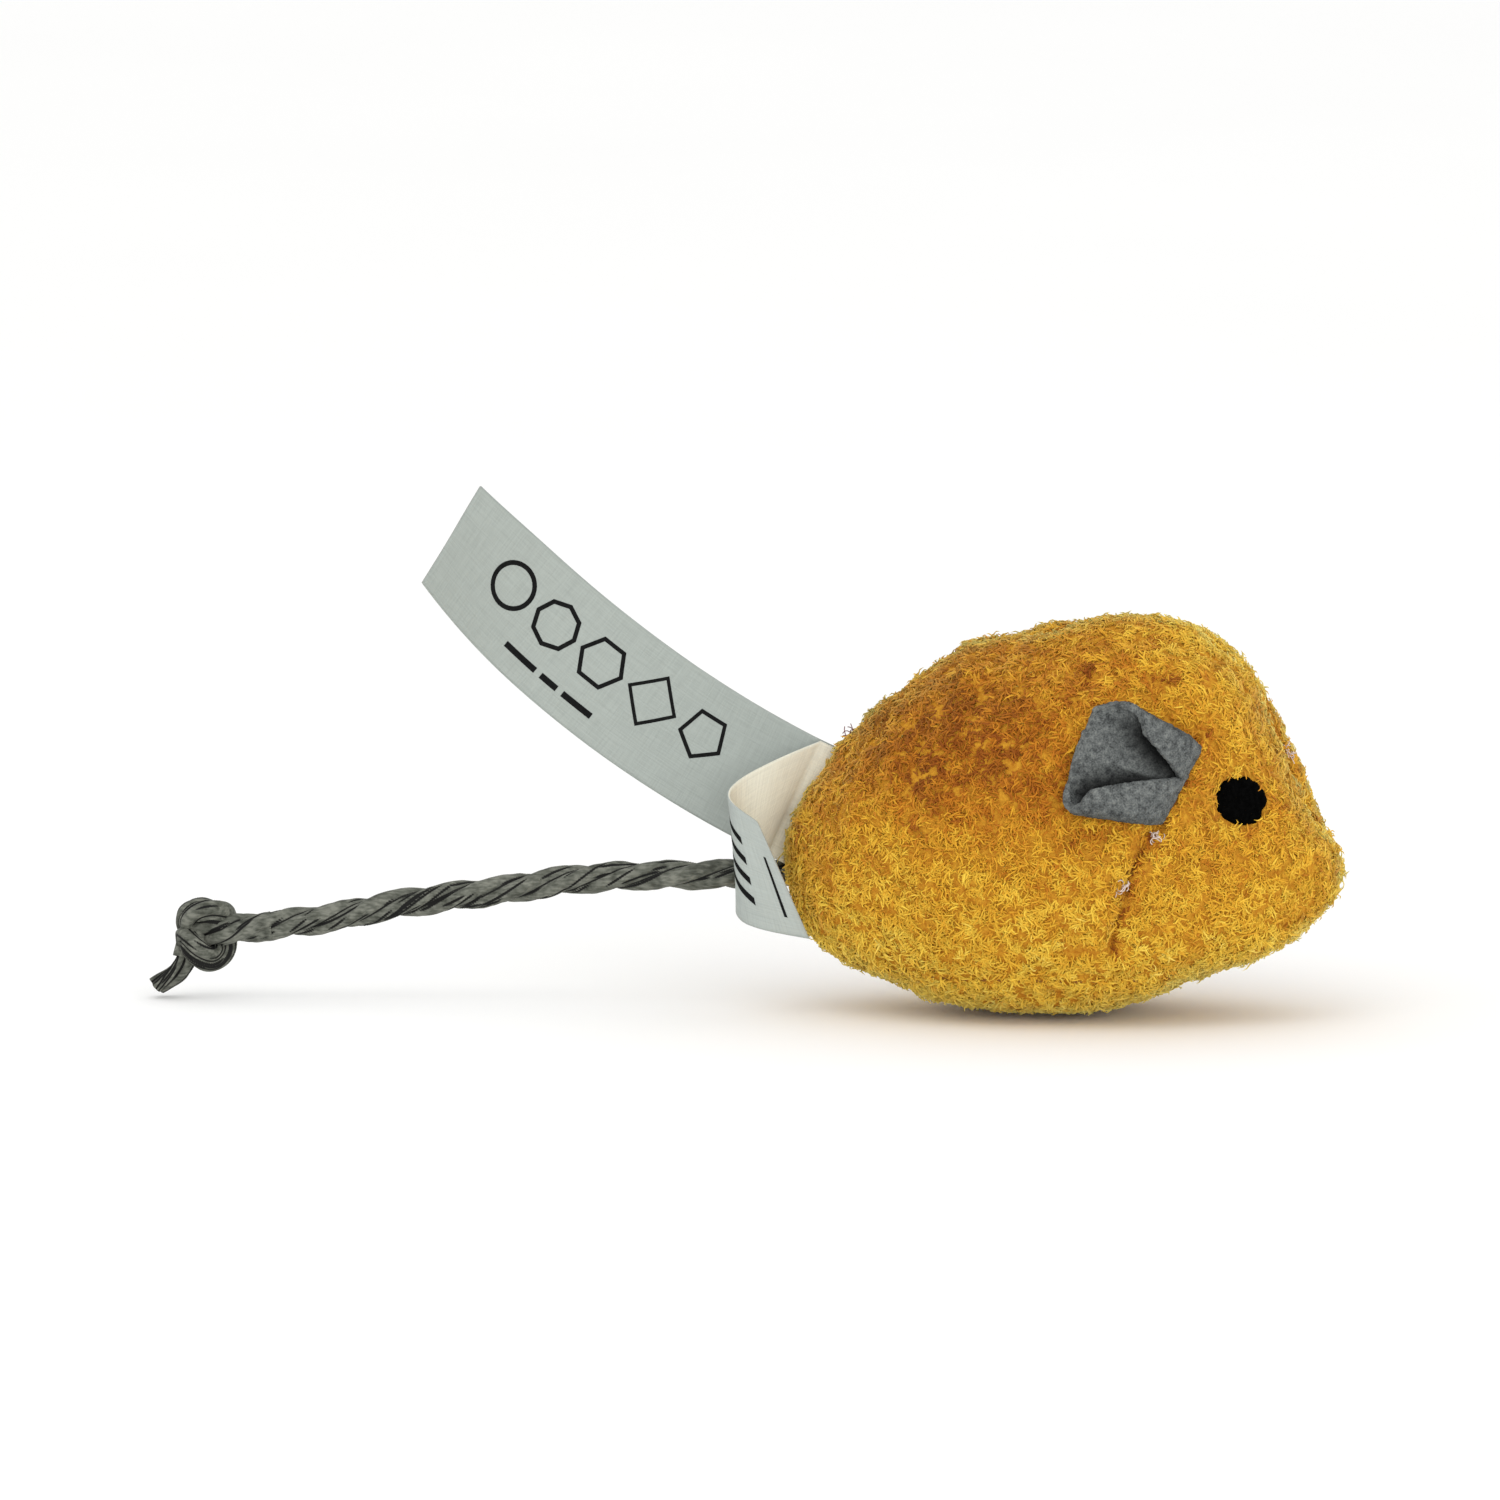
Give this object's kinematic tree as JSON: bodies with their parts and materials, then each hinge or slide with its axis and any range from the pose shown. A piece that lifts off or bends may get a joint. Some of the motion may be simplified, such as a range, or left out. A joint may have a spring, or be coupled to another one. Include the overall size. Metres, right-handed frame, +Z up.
{
  "type": "catnip mouse",
  "caption": "Stuffed plush toy mouse for cats, with pleated felt ears, pad eyes, a knotted paper-cord tail and sewn-in label tapes.",
  "frame": {"origin": "on the floor, on the flat of the belly panel, in the middle plane", "axes": "+X towards the nose, +Y towards the mouse's left side, +Z up"},
  "size_m": [0.151, 0.0512, 0.0651],
  "materials": {
    "plush": "short curly pile, mustard yellow",
    "felt": "grey wool felt",
    "eye": "black felt pad",
    "cord": "twisted paper yarn, grey",
    "tape": "woven label tape, pale grey",
    "stuffing": "loose fibre filling",
    "pouch": "thin non-woven pouch filled with dried herb",
    "thread": "sewing thread, pale pink"
  },
  "bodies": {
    "mouse": {"right_side_panel": "plush", "left_side_panel": "plush", "belly_panel": "plush", "centre_seam_thread": "thread", "belly_seam_thread": "thread", "stuffing_front": "stuffing", "stuffing_rear": "stuffing", "catnip_pouch": "pouch", "right_eye": "eye", "left_eye": "eye", "right_ear_tack": "thread", "left_ear_tack": "thread", "right_dart_thread": "thread", "left_dart_thread": "thread", "forehead_thread": "thread", "rump_thread": "thread", "tail_anchor": "cord"},
    "right_ear_flap": {"right_ear": "felt"},
    "left_ear_flap": {"left_ear": "felt"},
    "tail_root": {"tail_cord_root": "cord"},
    "tail_end": {"tail_cord_end": "cord", "tail_knot": "cord", "tail_tip": "cord"},
    "care_tape": {"care_label": "tape"},
    "fold_tape": {"fold_label": "tape"}
  },
  "joints": [
    {"name": "right_ear_lift", "type": "hinge", "parent": "mouse", "child": "right_ear_flap", "pos_m": [0.0183, -0.01867, 0.03195], "axis": [0.4005, 0.3266, 0.8561], "range_deg": [0, 70], "stiffness_Nm_per_rad": 0.0005},
    {"name": "left_ear_lift", "type": "hinge", "parent": "mouse", "child": "left_ear_flap", "pos_m": [0.0183, 0.01867, 0.03195], "axis": [-0.4005, 0.3266, -0.8561], "range_deg": [0, 70], "stiffness_Nm_per_rad": 0.0005},
    {"name": "tail_swing", "type": "hinge", "parent": "mouse", "child": "tail_root", "pos_m": [-0.0358, 0.0013, 0.0164], "axis": [0, 0, 1], "range_deg": [-60, 25], "stiffness_Nm_per_rad": 0.002},
    {"name": "tail_curl", "type": "hinge", "parent": "tail_root", "child": "tail_end", "pos_m": [-0.0676, -0.0002, 0.0142], "axis": [-0.04, 0.9992, 0], "range_deg": [0, 50]},
    {"name": "care_label_flap", "type": "hinge", "parent": "mouse", "child": "care_tape", "pos_m": [-0.03227, 0.00035, 0.02633], "axis": [0.4235, 0, 0.9059], "range_deg": [-40, 20], "stiffness_Nm_per_rad": 0.001},
    {"name": "fold_label_flap", "type": "hinge", "parent": "mouse", "child": "fold_tape", "pos_m": [-0.03227, -0.00035, 0.02633], "axis": [0.4235, 0, 0.9059], "range_deg": [-12, 4], "stiffness_Nm_per_rad": 0.001}
  ]
}
